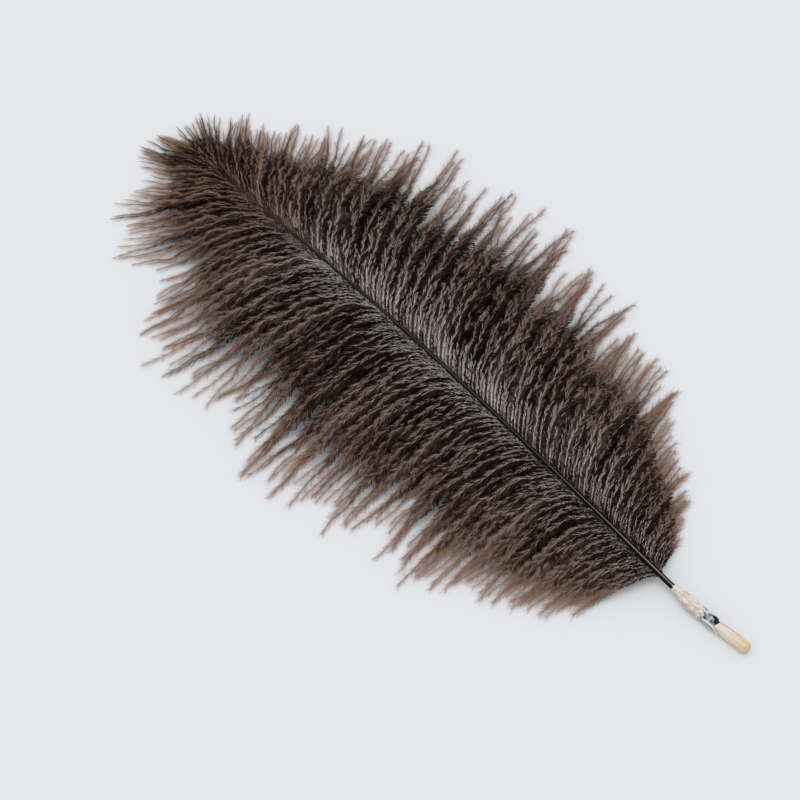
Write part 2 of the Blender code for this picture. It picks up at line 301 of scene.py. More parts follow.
def draw_locks(lengths, chance):
    """What sets the locks of a vane apart, drawn in the order that the solid draws it."""
    locks = []
    for i in range(LOCKS_PER_SIDE):
        v = (i + 0.5) / LOCKS_PER_SIDE
        t = VANE_START + (VANE_END - VANE_START) * v
        length = between(lengths, v) * (1.0 + chance.uniform(-LENGTH_SPREAD, LENGTH_SPREAD))
        swing = chance.uniform(-ANGLE_SPREAD, ANGLE_SPREAD)
        lift = ROOT_LIFT * (1.0 + chance.uniform(-LIFT_SPREAD, LIFT_SPREAD)) * (1.0 - FLATTER_TIP * v**4)
        locks.append(Lock(t, v, length, swing, lift, 0.0))
    for _ in range(LOCKS_PER_SIDE - 1):  # where the solid's locks part, which is only drawn to keep in step
        chance.randint(FIRST_SPLIT, LAST_SPLIT)
    return locks


def dress_barb(line, v, tone, painted_shading, chance):
    """A barb's line, with what its stem and barbules are grown from at each of its points."""
    distance = np.concatenate([[0.0], np.cumsum(np.linalg.norm(np.diff(line, axis=0), axis=1))])
    heading = np.gradient(line, axis=0)
    heading /= np.linalg.norm(heading, axis=1)[:, None]
    across = np.cross(heading, (0.0, 0.0, 1.0))
    across /= np.linalg.norm(across, axis=1)[:, None]
    twist_length, start = chance.uniform(*TWIST_LENGTH), chance.uniform(*ANY_PHASE)
    barb = {
        "points": line, "heading": heading, "across": across,
        "phase": 2.0 * math.pi * distance / twist_length + start,
        "twist": chance.uniform(*TWIST) * ease(REACH, 0.0, 0.10),
        "warmth": REACH + (1.0 - REACH) * between(TIP_WARMTH, v),
    }
    speckle = np.array([noise.noise(Vector(point) * SPECKLES_A_METRE) for point in line])
    tone = tone + between(BASE_SHADE, v) + between(DOWNY_ENDS, v) * ease(REACH, 0.45, 0.8)
    # Painted light and shade for the barb's side, by place along it.
    tone = tone + along(painted_shading, REACH)
    tone = tone + ROOT_SHADE * between(BARE_ROOTS, v) * (1.0 - ease(distance, 0.001, 0.006))
    finer = between(TIP_FINENESS, v)
    fuller = finer * chance.uniform(*FULLNESS)
    bare = 1.0 - ease(REACH, between(BARE_ENDS, v) - 0.08, between(BARE_ENDS, v) + 0.02)
    bare_root = 1.0 - between(BARE_ROOTS, v) * (1.0 - ease(distance, 0.002, 0.009))
    for key, pairs in PROFILES.items():
        values = along(pairs, REACH)
        if key.endswith("tone"):
            values = values + tone + SPECKLE_TONE * speckle
        elif key.endswith("lean"):
            values = np.radians(values * (0.45 + 0.55 * finer))
        elif key.endswith("width"):
            values = values * finer
        elif key.endswith("length"):
            values = values * fuller * bare * (between(UNDER_START, v) if key == "under_length" else bare_root)
        barb[key] = values
    return barb


def own_course(side, lengths, locks, place, stray, chance):
    """A barb's own length, turn, rise and curl, near those of the locks beside it."""
    centres = [each.v for each in locks]
    fullness = np.interp(place, centres, [each.length / between(lengths, each.v) for each in locks])
    length = between(lengths, place) * fullness * (1.0 + chance.uniform(*OWN_LENGTH))
    swing = LED_SWING * np.interp(place, centres, [each.swing for each in locks])
    swing += chance.uniform(-1.0, 1.0) * between(OWN_SWING, place)
    lift = np.interp(place, centres, [each.lift for each in locks])
    if stray:
        swing += chance.uniform(-FLYAWAY_SWING, FLYAWAY_SWING)
        lift += chance.uniform(*FLYAWAY_LIFT)
    curl = SHARED_CURL * noise.noise(Vector((place * 30.0, side * 5.0, 2.0)))
    curl += OWN_CURL * noise.noise(Vector((place * 400.0, side * 5.0, 7.0)))
    t = VANE_START + (VANE_END - VANE_START) * place
    return Lock(t, place, length, swing, between(RISE, place) * lift, curl)


def vane_barb(side, lengths, end_angles, locks, place, chance):
    """One barb of a vane. It springs at its own place and draws in to its lock further out."""
    lock = locks[min(int(place * LOCKS_PER_SIDE), LOCKS_PER_SIDE - 1)]
    stray = chance.random() < FLYAWAYS
    own = own_course(side, lengths, locks, place, stray, chance)
    line = outward_line(side, end_angles, own)
    led = outward_line(side, end_angles, lock)
    line[:, 0] += side * ROOT_PLACE * rachis_radius(own.t) * (1.0 - ease(REACH, 0.0, 0.12))
    if not stray:
        gather = (GATHER * ease(REACH, 0.25, 0.9))[:, None]
        line[:, :2] += gather * (led[:, :2] - line[:, :2])
    loose = ease(REACH, 0.02, 0.24) * (1.0 - 0.5 * ease(REACH, 0.65, 1.0))
    base_calm = between(BASE_CALM, place)
    calm = min(own.length / 0.030, 1.0) * base_calm
    shared = np.array([
        [
            noise.noise(Vector((x * WAVES_A_METRE, y * WAVES_A_METRE, slice_of_noise + side)))
            for slice_of_noise in (3.0, 13.0)
        ]
        for x, y, _ in line
    ])
    line[:, :2] += shared * (SHARED_WAVE * calm * loose)[:, None]
    level = np.gradient(line[:, :2], axis=0)
    level /= np.linalg.norm(level, axis=1)[:, None]
    sideways = np.stack([level[:, 1], -level[:, 0]], axis=1)
    distance = REACH * own.length

    def wave(size, longest):
        long, short = chance.uniform(0.8, 1.3) * longest, chance.uniform(0.5, 0.7) * longest
        first, second = chance.uniform(*ANY_PHASE), chance.uniform(*ANY_PHASE)
        swell = np.sin(TURN * distance / long + first) + 0.4 * np.sin(TURN * distance / short + second)
        return size * calm * swell * loose

    line[:, :2] += sideways * wave(OWN_WAVE, OWN_WAVE_LENGTH)[:, None]
    line[:, 2] += wave(RISING_WAVE, RISING_WAVE_LENGTH)
    layer = chance.uniform(-1.0, 1.0)
    spread = LAYERING * layer * base_calm * ease(REACH, 0.05, 0.3)
    line[:, 2] += spread * (1.0 - 0.6 * ease(REACH, 0.6, 1.0))
    line[:, 2] = LOWEST + np.logaddexp(0.0, (line[:, 2] - LOWEST) * LEVELLING) / LEVELLING
    return line, MEAN_TONE + chance.gauss(0.0, TONE_SPREAD) + LAYER_PAINTED_LIGHT * layer


def cling(places, lines, chance):
    """Draws neighbouring barbs together in twos and threes a little way out, with dark gaps between."""
    first = 0
    while first < len(lines):
        count = chance.choice(CLUMPS)
        clump = lines[first:first + count]
        middle = sum(line[:, :2] for line in clump) / len(clump)
        pull = chance.uniform(0.7, 1.1) * CLINGING * between(BASE_CALM, places[first])
        pull = pull * ease(REACH, 0.06, 0.45) * (1.0 - 0.5 * ease(REACH, 0.65, 1.0))
        for line in clump:
            line[:, :2] += pull[:, None] * (middle - line[:, :2])
        first += count


def vane_barbs(side, lengths, end_angles, locks, chance):
    fine = np.linspace(BARBS_START, BARBS_END, 400)
    barbs_below = np.cumsum(along(BARB_DENSITY, fine))
    places, lines, tones = [], [], []
    for i in range(BARBS_PER_SIDE):
        share = (i + 0.5 + chance.uniform(-0.22, 0.22)) / BARBS_PER_SIDE
        places.append(float(np.interp(share, barbs_below / barbs_below[-1], fine)))
        line, tone = vane_barb(side, lengths, end_angles, locks, places[-1], chance)
        lines.append(line)
        tones.append(tone)
    cling(places, lines, chance)
    painted_shading = RIGHT_PAINTED_SHADING if side > 0 else LEFT_PAINTED_SHADING
    return [dress_barb(line, place, tone, painted_shading, chance) for place, line, tone in zip(places, lines, tones)]


def tip_barbs(chance):
    """The barbs that carry on past the end of the shaft, side by side, into one drawn-out point."""
    low, high = TIP_LINE[0][0], TIP_LINE[-1][0]
    barbs = []
    for i in range(TIP_BARBS):
        place = (i + 0.5) / TIP_BARBS * 2.0 - 1.0
        start = low + chance.uniform(0.0, 0.004)
        end = high - 0.005 * abs(place) - chance.uniform(0.0, 0.004)
        line = []
        for step in range(BARB_STEPS + 1):
            u = step / BARB_STEPS
            y = start + (end - start) * u
            middle = line_point(TIP_LINE, y)
            share = (y - low) / (high - low)
            half = between(TIP_WIDTHS, share) * 0.5 * float(ease(u, 0.0, 0.3) * 0.8 + 0.2)
            rise = 0.0003 * math.sin(3.0 * place + 5.0 * u) + 0.0004 * (1.0 - abs(place)) * (1.0 - u)
            line.append((middle.x + half * place, middle.y, max(middle.z + rise, LOWEST)))
        tone = TIP_TONE + chance.gauss(0.0, TONE_SPREAD)
        barbs.append(dress_barb(np.array(line), 1.0, tone, TIP_PAINTED_SHADING, chance))
    return barbs


# ---------------------------------------------------------------------------
# Nodes and materials
# ---------------------------------------------------------------------------

def linear(colour):
    """An sRGB hex colour as linear red, green, blue and alpha."""
    parts = [int(colour[i:i + 2], 16) / 255.0 for i in (1, 3, 5)]
    return tuple(c / 12.92 if c <= 0.04045 else ((c + 0.055) / 1.055) ** 2.4 for c in parts) + (1.0,)


def first_open(sockets, key=0):
    """The socket in use that has this name or this place."""
    used = [socket for socket in sockets if socket.enabled]
    return used[key] if isinstance(key, int) else next(socket for socket in used if socket.name == key)


def plug(tree, node, inputs):
    """Gives each input, by its name or its place, a value, a socket or a node's first output."""
    for key, value in inputs.items():
        socket = first_open(node.inputs, key)
        if isinstance(value, bpy.types.Node):
            value = first_open(value.outputs)
        if isinstance(value, bpy.types.NodeSocket):
            tree.links.new(value, socket)
        else:
            socket.default_value = value


def add(tree, kind, inputs=None, stops=(), **settings):
    """Adds a node with these inputs, the stops of its colour ramp and its settings."""
    node = tree.nodes.new(kind)
    for name, value in settings.items():
        setattr(node, name, value)
    plug(tree, node, inputs or {})
    for i, (place, colour) in enumerate(stops):
        points = node.color_ramp.elements
        point = points[i] if i < len(points) else points.new(place)
        point.position, point.color = place, linear(colour)
    return node


def new_material(name, **surface):
    """A material whose shader has these constants on its own sockets."""
    made = bpy.data.materials.new(name)
    made.use_nodes = True
    shader = made.node_tree.nodes["Principled BSDF"]
    for socket, value in surface.items():
        shader.inputs[socket.replace("_", " ")].default_value = value
    return made, made.node_tree, shader


def streaks(tree, across, lengthwise, detail=3.0, seed=0.0):
    """Noise drawn out along the shaft, its grain given across and along in metres. The fibres of real
    keratin are under 0.01 mm, so this is as coarse as it needs to be to show."""
    place = add(tree, "ShaderNodeMapping", {
        "Vector": add(tree, "ShaderNodeTexCoord").outputs["Object"],
        "Location": (seed, seed, seed), "Scale": (1.0 / across, 1.0 / lengthwise, 1.0 / across),
    })
    return add(tree, "ShaderNodeTexNoise", {"Vector": place, "Scale": 1.0, "Detail": detail, "Roughness": 0.55})


def from_quill_end(tree, axis):
    """How far a place is from the quill's end along one axis, in millimetres."""
    split = add(tree, "ShaderNodeSeparateXYZ", {0: add(tree, "ShaderNodeTexCoord").outputs["Object"]})
    return add(tree, "ShaderNodeMath", {
        0: split.outputs[axis], 1: 1000.0, 2: -1000.0 * QUILL_END["XYZ".index(axis)],
    }, operation="MULTIPLY_ADD")


def barb_keratin():
    """Ostrich barbs are brown keratin, grown as soft open threads. Up close each is a satin thread, dull from
    a step away. Their colour has a painted grey sheen where they stand close beside the shaft, and a warmer
    brown in their thin ends, partly their own colour and partly painted light shining through them. U runs
    from the painted grey sheen to the brown, and V from dark to light."""
    made, tree, shader = new_material("Brown barb keratin", Roughness=0.55, Specular_IOR_Level=0.06, IOR=1.55)
    split = add(tree, "ShaderNodeSeparateXYZ", {0: add(tree, "ShaderNodeUVMap", uv_map="OFBake")})
    hue = add(tree, "ShaderNodeValToRGB", {0: split.outputs["X"]}, stops=(
        (0.0, "#f0eae7"), (0.12, "#ddd5d0"), (0.28, "#c6b7ae"), (0.55, "#b9a295"), (0.80, "#c19e88"),
        (1.0, "#cea78f"),
    ))
    tone = add(tree, "ShaderNodeValToRGB", {0: split.outputs["Y"]}, stops=(
        (0.0, "#22130b"), (0.25, "#423028"), (0.5, "#736660"), (0.7, "#b6b1ae"), (0.88, "#faf8f6"),
    ))
    plug(tree, shader, {"Base Color": add(tree, "ShaderNodeMix", {
        "Factor": 1.0, "A": hue, "B": tone,
    }, data_type="RGBA", blend_type="MULTIPLY")})
    return made


def rachis_keratin():
    """The shaft is dense dark keratin, grown smooth: nearly black, with a painted grey highlight along its
    ridge that fades where it thins, fine grain lengthwise, and a browner colour at its tip. U of its map runs
    round it, from 0.5 at its top, and V along it."""
    made, tree, shader = new_material("Dark satin rachis", Specular_IOR_Level=0.10, IOR=1.55)
    grain = streaks(tree, 0.00012, 0.004)
    mapped = add(tree, "ShaderNodeSeparateXYZ", {0: add(tree, "ShaderNodeUVMap", uv_map="OFBake")})
    base = add(tree, "ShaderNodeValToRGB", {0: mapped.outputs["Y"]}, stops=(
        (0.13, "#080605"), (0.35, "#14110f"), (0.55, "#1c1714"), (0.78, "#2a201a"), (1.0, "#5a4335"),
    ))
    # Painted highlight: a narrow grey line along the top of the shaft, fading where the shaft thins.
    ridge = add(tree, "ShaderNodeValToRGB", {0: mapped.outputs["X"]}, stops=(
        (0.445, "#000000"), (0.475, "#f0f0f0"), (0.495, "#f0f0f0"), (0.525, "#000000"),
    ))
    fading = add(tree, "ShaderNodeValToRGB", {0: mapped.outputs["Y"]}, stops=(
        (0.12, "#c8c8c8"), (0.26, "#969696"), (0.36, "#585858"), (0.60, "#585858"), (0.85, "#000000"),
    ))
    painted_gleam = add(tree, "ShaderNodeMath", {0: ridge, 1: fading}, operation="MULTIPLY")
    plug(tree, shader, {
        "Base Color": add(tree, "ShaderNodeMix", {
            "Factor": painted_gleam, "A": base, "B": linear("#c2bfbd"),
        }, data_type="RGBA"),
        "Roughness": add(tree, "ShaderNodeMapRange", {
            "Value": grain, "From Min": 0.3, "From Max": 0.7, "To Min": 0.36, "To Max": 0.52,
        }),
        "Normal": add(tree, "ShaderNodeBump", {"Height": grain, "Strength": 0.25, "Distance": 0.00004}),
    })
    return made


def calamus_horn():
    """The bare end is pale horn, smooth and slightly see-through: cream near the waist, golden in lengthwise
    streaks, amber where it closes, with a thin brown line along its right."""
    made, tree, shader = new_material(
        "Pale calamus horn", Roughness=0.38, Specular_IOR_Level=0.5, IOR=1.54,
        Subsurface_Weight=0.25, Subsurface_Scale=0.0006,
    )
    from_end = from_quill_end(tree, "Y")
    wandering = add(tree, "ShaderNodeMath", {
        0: streaks(tree, 0.0008, 0.003, seed=4.0), 1: 2.4, 2: from_end,
    }, operation="MULTIPLY_ADD")
    place = add(tree, "ShaderNodeMapRange", {"Value": wandering, "From Min": 0.8, "From Max": 9.8})
    base = add(tree, "ShaderNodeValToRGB", {0: place}, stops=(
        (0.0, "#cbaa7c"), (0.14, "#dac49f"), (0.34, "#dccdb3"), (0.55, "#ddd3c3"), (0.8, "#e0d8cb"),
        (1.0, "#dbd4c8"),
    ))
    golden = add(tree, "ShaderNodeMapRange", {
        "Value": streaks(tree, 0.00028, 0.005, seed=9.0), "From Min": 0.52, "From Max": 0.80,
    })
    colour = add(tree, "ShaderNodeMix", {
        "Factor": golden, "A": base, "B": linear("#cdab7c"),
    }, data_type="RGBA")
    # The line is a little uneven. It is how far right of the quill's end a place is, in millimetres, and runs
    # out to the horn's edge as it nears that end.
    side = add(tree, "ShaderNodeMath", {
        0: from_end, 1: 0.14, 2: from_quill_end(tree, "X"),
    }, operation="MULTIPLY_ADD")
    side = add(tree, "ShaderNodeMath", {
        0: streaks(tree, 0.0006, 0.004, seed=2.0), 1: 0.5, 2: side,
    }, operation="MULTIPLY_ADD")
    side = add(tree, "ShaderNodeMapRange", {"Value": side, "From Min": 0.95, "From Max": 1.85})
    line = add(tree, "ShaderNodeValToRGB", {0: side}, stops=(
        (0.36, "#000000"), (0.44, "#d0d0d0"), (0.56, "#d0d0d0"), (0.64, "#000000"),
    ))
    reach = add(tree, "ShaderNodeMapRange", {"Value": from_end, "From Min": 1.5, "From Max": 3.5})
    line = add(tree, "ShaderNodeMath", {0: line, 1: reach}, operation="MULTIPLY")
    plug(tree, shader, {
        "Base Color": add(tree, "ShaderNodeMix", {
            "Factor": line, "A": colour, "B": linear("#7d5234"),
        }, data_type="RGBA"),
        "Normal": add(tree, "ShaderNodeBump", {
            "Height": streaks(tree, 0.00015, 0.003), "Strength": 0.2, "Distance": 0.00004,
        }),
    })
    return made


def sheath_film(name, pale, dark, roughness):
    """The sheath and its film are dried skin that flakes: cream to grey, in cracked lengthwise strips."""
    made, tree, shader = new_material(name, Roughness=roughness, Specular_IOR_Level=0.35, IOR=1.5)
    strips = add(tree, "ShaderNodeMapRange", {
        "Value": streaks(tree, 0.00035, 0.003, 5.0, 2.0), "From Min": 0.36, "From Max": 0.66,
    })
    blotch = add(tree, "ShaderNodeMapRange", {
        "Value": streaks(tree, 0.0012, 0.0016, 4.0, 6.0), "From Min": 0.40, "From Max": 0.70,
    })
    colour = add(tree, "ShaderNodeMix", {
        "Factor": strips, "A": linear(dark), "B": linear(pale),
    }, data_type="RGBA")
    plug(tree, shader, {
        "Base Color": add(tree, "ShaderNodeMix", {
            "Factor": blotch, "A": colour, "B": linear("#efe9de"),
        }, data_type="RGBA", blend_type="SOFT_LIGHT"),
        "Normal": add(tree, "ShaderNodeBump", {
            "Height": streaks(tree, 0.00014, 0.0009, 6.0), "Strength": 0.5, "Distance": 0.00008,
        }),
    })
    return made


def collar_film():
    """The waist is pulp under a clear dried film: blue-grey and shiny, blotched with dark."""
    made, tree, shader = new_material("Clear grey collar film", Roughness=0.22, Specular_IOR_Level=0.6, IOR=1.5)
    blotch = streaks(tree, 0.0005, 0.0006, 4.0, 3.0)
    plug(tree, shader, {
        "Base Color": add(tree, "ShaderNodeValToRGB", {0: blotch}, stops=(
            (0.36, "#25282c"), (0.45, "#5f656c"), (0.55, "#979ea5"), (0.70, "#ccd0d1"),
        )),
        "Normal": add(tree, "ShaderNodeBump", {"Height": blotch, "Strength": 0.4, "Distance": 0.0001}),
    })
    return made


def dried_pulp():
    """Dried pulp is a black crust, uneven and faintly shiny."""
    made, tree, shader = new_material("Black dried pulp", Roughness=0.45, Specular_IOR_Level=0.2, IOR=1.5)
    crust = streaks(tree, 0.0002, 0.0002, 4.0)
    plug(tree, shader, {
        "Base Color": add(tree, "ShaderNodeMix", {
            "Factor": crust, "A": linear("#050404"), "B": linear("#1c1816"),
        }, data_type="RGBA"),
        "Normal": add(tree, "ShaderNodeBump", {"Height": crust, "Strength": 0.6, "Distance": 0.0001}),
    })
    return made


# ---------------------------------------------------------------------------
# Growing the barbs
# ---------------------------------------------------------------------------

def barb_tree():
    """Geometry Nodes that grow a three-sided stem along each guide line, and barbules on both its sides."""
    tree = bpy.data.node_groups.new("Barbs and barbules", "GeometryNodeTree")
    numbers = [f"{kind} {size}" for kind in ROWS for size in Row._fields]
    for name, kind in [
        ("Geometry", "Geometry"), ("Broad barbule", "Object"), ("Pointed barbule", "Object"), ("Seed", "Int"),
        ("Material", "Material"),
    ] + [(name, "Float") for name in numbers]:
        tree.interface.new_socket(name, in_out="INPUT", socket_type="NodeSocket" + kind)
    tree.interface.new_socket("Geometry", in_out="OUTPUT", socket_type="NodeSocketGeometry")
    given = add(tree, "NodeGroupInput").outputs
    carried = {}
    for data_type, names in (
        ("FLOAT", ("warmth", "phase", "twist", "tone", *PROFILES)),
        ("FLOAT_VECTOR", ("heading", "across", "corner")),
    ):
        for name in names:
            carried[name] = add(tree, "GeometryNodeInputNamedAttribute", {"Name": name}, data_type=data_type)

    lines = add(tree, "GeometryNodeMeshToCurve", {"Mesh": given["Geometry"]})

    # The stem.
    section = add(tree, "GeometryNodeCurvePrimitiveCircle", {"Resolution": 3, "Radius": 1.0}, mode="RADIUS")
    section = add(tree, "GeometryNodeStoreNamedAttribute", {
        "Geometry": section, "Name": "corner", "Value": add(tree, "GeometryNodeInputPosition"),
    }, data_type="FLOAT_VECTOR", domain="POINT")
    stems = add(tree, "GeometryNodeCurveToMesh", {
        "Curve": lines, "Profile Curve": section, "Scale": carried["stem_radius"], "Fill Caps": True,
    })
    stems = add(tree, "GeometryNodeStoreNamedAttribute", {
        "Geometry": stems, "Name": "tone", "Value": carried["stem_tone"],
    }, data_type="FLOAT", domain="POINT")

    # The barbules, which spring by turns from the barb's two sides.
    index = add(tree, "GeometryNodeInputIndex")
    odd = add(tree, "ShaderNodeMath", {0: index, 1: 2.0}, operation="MODULO")
    side = add(tree, "ShaderNodeMath", {0: odd, 1: -2.0, 2: 1.0}, operation="MULTIPLY_ADD")
    frame_of_barb = add(tree, "FunctionNodeAxesToRotation", {
        "Primary Axis": carried["heading"], "Secondary Axis": carried["across"],
    }, primary_axis="Z", secondary_axis="X")
    # The barb twists to and fro along its length, so that each side in turn is raised.
    roll = add(tree, "ShaderNodeMath", {
        0: add(tree, "ShaderNodeMath", {0: carried["phase"]}, operation="SINE"), 1: carried["twist"],
    }, operation="MULTIPLY")
    raised = add(tree, "ShaderNodeMath", {0: side, 1: roll}, operation="MULTIPLY")

    def row(kind, step):
        """One row of barbules. How far each strays is partly its own, and partly shared with its tuft."""
        row_has = {size: given[f"{kind} {size}"] for size in Row._fields}
        here = {size: carried[f"{kind}_{size}"] for size in ("length", "width", "lean", "tone", "share")}
        shape = "Broad barbule" if kind == "under" else "Pointed barbule"
        blade = add(tree, "GeometryNodeObjectInfo", {"Object": given[shape]}).outputs["Geometry"]
        places = add(tree, "GeometryNodeCurveToPoints", {
            "Curve": lines, "Length": row_has["spacing"],
        }, mode="LENGTH")
        both_sides = add(tree, "ShaderNodeMath", {0: row_has["tuft"], 1: 2.0}, operation="MULTIPLY")
        group = add(tree, "ShaderNodeMath", {0: index, 1: both_sides}, operation="SNAP")
        tuft = add(tree, "ShaderNodeMath", {0: group, 1: odd}, operation="ADD")
        seed = add(tree, "ShaderNodeMath", {0: given["Seed"], 1: step}, operation="ADD")
        either_way = {"Min": (-1.0, -1.0, -1.0), "Max": (1.0, 1.0, 1.0), "Seed": seed}
        own = add(tree, "FunctionNodeRandomValue", either_way, data_type="FLOAT_VECTOR")
        shared = add(tree, "FunctionNodeRandomValue", {**either_way, "ID": tuft}, data_type="FLOAT_VECTOR")
        straying = add(tree, "ShaderNodeMix", {"Factor": 0.6, "A": own, "B": shared}, data_type="VECTOR")
        aims = add(tree, "ShaderNodeSeparateXYZ", {0: add(tree, "ShaderNodeVectorMath", {
            0: straying,
            1: add(tree, "ShaderNodeCombineXYZ", {
                "X": row_has["lean_spread"], "Y": row_has["droop_spread"], "Z": row_has["tone_spread"],
            }),
            2: add(tree, "ShaderNodeCombineXYZ", {
                "X": here["lean"], "Y": row_has["droop"], "Z": here["tone"],
            }),
        }, operation="MULTIPLY_ADD")})
        lean = add(tree, "ShaderNodeMath", {0: aims.outputs["X"], 1: side}, operation="MULTIPLY")
        droop = add(tree, "ShaderNodeMath", {0: aims.outputs["Y"], 1: side}, operation="MULTIPLY")
        droop = add(tree, "ShaderNodeMath", {
            0: roll, 1: row_has["twist"], 2: droop,
        }, operation="MULTIPLY_ADD")
        turned = add(tree, "FunctionNodeRotateRotation", {
            "Rotation": frame_of_barb,
            "Rotate By": add(tree, "FunctionNodeEulerToRotation", {
                "Euler": add(tree, "ShaderNodeCombineXYZ", {"Y": lean, "Z": droop}),
            }),
        }, rotation_space="LOCAL")
        ragged = add(tree, "FunctionNodeRandomValue", {
            "Min": 0.65, "Max": 1.15, "Seed": add(tree, "ShaderNodeMath", {0: seed, 1: 5}, operation="ADD"),
        }, data_type="FLOAT")
        size = add(tree, "ShaderNodeCombineXYZ", {
            "X": here["width"], "Y": here["width"],
            "Z": add(tree, "ShaderNodeMath", {0: here["length"], 1: ragged}, operation="MULTIPLY"),
        })
        # Painted light and shade: a barbule is painted lighter where the barb's twist turns it up, and darker
        # where it turns it down.
        tone = add(tree, "ShaderNodeMath", {0: raised, 1: row_has["twist"]}, operation="MULTIPLY")
        tone = add(tree, "ShaderNodeMath", {0: tone, 1: -0.28, 2: aims.outputs["Z"]}, operation="MULTIPLY_ADD")
        places = add(tree, "GeometryNodeStoreNamedAttribute", {
            "Geometry": places, "Name": "tone", "Value": tone,
        }, data_type="FLOAT", domain="POINT")
        long_enough = add(tree, "FunctionNodeCompare", {
            "A": here["length"], "B": 0.0003,
        }, data_type="FLOAT", operation="GREATER_THAN")
        drawn = add(tree, "FunctionNodeRandomValue", {
            "Probability": here["share"],
            "Seed": add(tree, "ShaderNodeMath", {0: seed, 1: 7}, operation="ADD"),
        }, data_type="BOOLEAN")
        kept = add(tree, "FunctionNodeBooleanMath", {0: long_enough, 1: drawn}, operation="AND")
        return add(tree, "GeometryNodeRealizeInstances", {
            "Geometry": add(tree, "GeometryNodeInstanceOnPoints", {
                "Points": places, "Selection": kept, "Instance": blade, "Rotation": turned, "Scale": size,
            }),
        })

    both = add(tree, "GeometryNodeJoinGeometry")
    for part in [stems] + [row(kind, 10 * step) for step, kind in enumerate(ROWS)]:
        tree.links.new(first_open(part.outputs), both.inputs[0])

    # U is the warmth of the colour and V its tone. Each corner is a little off, so that no face's map is flat.
    corner = add(tree, "ShaderNodeSeparateXYZ", {0: carried["corner"]}).outputs
    u = add(tree, "ShaderNodeMath", {0: corner["X"], 1: 0.008, 2: carried["warmth"]}, operation="MULTIPLY_ADD")
    v = add(tree, "ShaderNodeMath", {0: corner["Y"], 1: 0.04, 2: carried["tone"]}, operation="MULTIPLY_ADD")
    v = add(tree, "ShaderNodeMath", {0: corner["Z"], 1: 0.10, 2: v}, operation="MULTIPLY_ADD")
    mapped = add(tree, "GeometryNodeStoreNamedAttribute", {
        "Geometry": both, "Name": "OFBake",
        "Value": add(tree, "ShaderNodeCombineXYZ", {
            "X": add(tree, "ShaderNodeClamp", {"Value": u, "Min": 0.004, "Max": 0.996}),
            "Y": add(tree, "ShaderNodeClamp", {"Value": v, "Min": 0.004, "Max": 0.996}),
        }),
    }, data_type="FLOAT2", domain="CORNER")
    real = add(tree, "GeometryNodeRealizeInstances", {
        "Geometry": add(tree, "GeometryNodeSetShadeSmooth", {0: mapped}),
    })
    done = add(tree, "GeometryNodeSetMaterial", {"Geometry": real, "Material": given["Material"]})
    add(tree, "NodeGroupOutput", {"Geometry": done})
    return tree


def barbule_shape(name, end_width, turn):
    """One barbule, one long and one wide: a closed blade of four faces, turned this far from root to end."""
    x, y = 0.5 * end_width * math.cos(math.radians(turn)), 0.5 * end_width * math.sin(math.radians(turn))
    mesh = bpy.data.meshes.new(name)
    mesh.from_pydata(
        [(-0.5, 0.0, 0.0), (0.5, 0.0, 0.0), (-x, -y, 1.0), (x, y, 1.0)], [],
        [(0, 2, 1), (0, 1, 3), (0, 3, 2), (1, 2, 3)],
    )
    corners = [value for vertex in mesh.vertices for value in vertex.co]
    mesh.attributes.new("corner", "FLOAT_VECTOR", "POINT").data.foreach_set("vector", corners)
    return bpy.data.objects.new(name, mesh)


def put_in_scene(name, data):
    made = bpy.data.objects.new(name, data)
    bpy.context.scene.collection.objects.link(made)
    return made


def add_piece(name, mesh):
    piece = put_in_scene(name, mesh)
    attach(piece, "root")
    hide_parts("feather")


def guide_object(name, barbs):
    """The barbs' middle lines, as loose edges that carry what grows on them."""
    counts = [len(barb["points"]) for barb in barbs]
    starts = np.concatenate([[0], np.cumsum(counts)[:-1]])
    edges = [(int(s + i), int(s + i + 1)) for s, count in zip(starts, counts) for i in range(count - 1)]
    mesh = bpy.data.meshes.new(name)
    mesh.from_pydata(np.concatenate([barb["points"] for barb in barbs]).tolist(), edges, [])
    for key in [key for key in barbs[0] if key != "points"]:
        values = np.concatenate([barb[key] for barb in barbs]).astype(np.float32)
        kind, field = ("FLOAT", "value") if values.ndim == 1 else ("FLOAT_VECTOR", "vector")
        mesh.attributes.new(key, kind, "POINT").data.foreach_set(field, values.ravel())
    return put_in_scene(name, mesh)


def keep_above_table(mesh):
    """Bends what would pass through the table along it."""
    points = np.empty(len(mesh.vertices) * 3, dtype=np.float32)
    mesh.vertices.foreach_get("co", points)
    height = points[2::3] / TABLE_SOFTNESS
    points[2::3] = TABLE_SOFTNESS * (np.exp(np.minimum(height, 1.0) - 1.0) + np.maximum(height, 1.0) - 1.0)
    mesh.vertices.foreach_set("co", points)
    mesh.update()


def grow_barbs(name, barbs, tree, blades, finish, seed):
    guide = guide_object(name + "_guide", barbs)
    grower = guide.modifiers.new("Barbs", "NODES")
    grower.node_group = tree
    sockets = {item.name: item.identifier for item in tree.interface.items_tree if item.in_out == "INPUT"}
    for kind, row in ROWS.items():
        for size, value in row._asdict().items():
            degrees = "droop" in size or "lean" in size
            grower[sockets[f"{kind} {size}"]] = math.radians(value) if degrees else value
    for shape, blade in blades.items():
        grower[sockets[shape]] = blade
    grower[sockets["Seed"]], grower[sockets["Material"]] = seed, finish
    grown = guide.evaluated_get(bpy.context.evaluated_depsgraph_get())
    mesh = bpy.data.meshes.new_from_object(grown)
    guide.modifiers.remove(grower)
    bpy.data.objects.remove(guide)
    mesh.name = name
    for key in [a.name for a in mesh.attributes if a.name in barbs[0] or a.name in ("corner", "tone")]:
        mesh.attributes.remove(mesh.attributes[key])
    keep_above_table(mesh)
    add_piece(name, mesh)


# ---------------------------------------------------------------------------
# The shaft and the quill
# ---------------------------------------------------------------------------

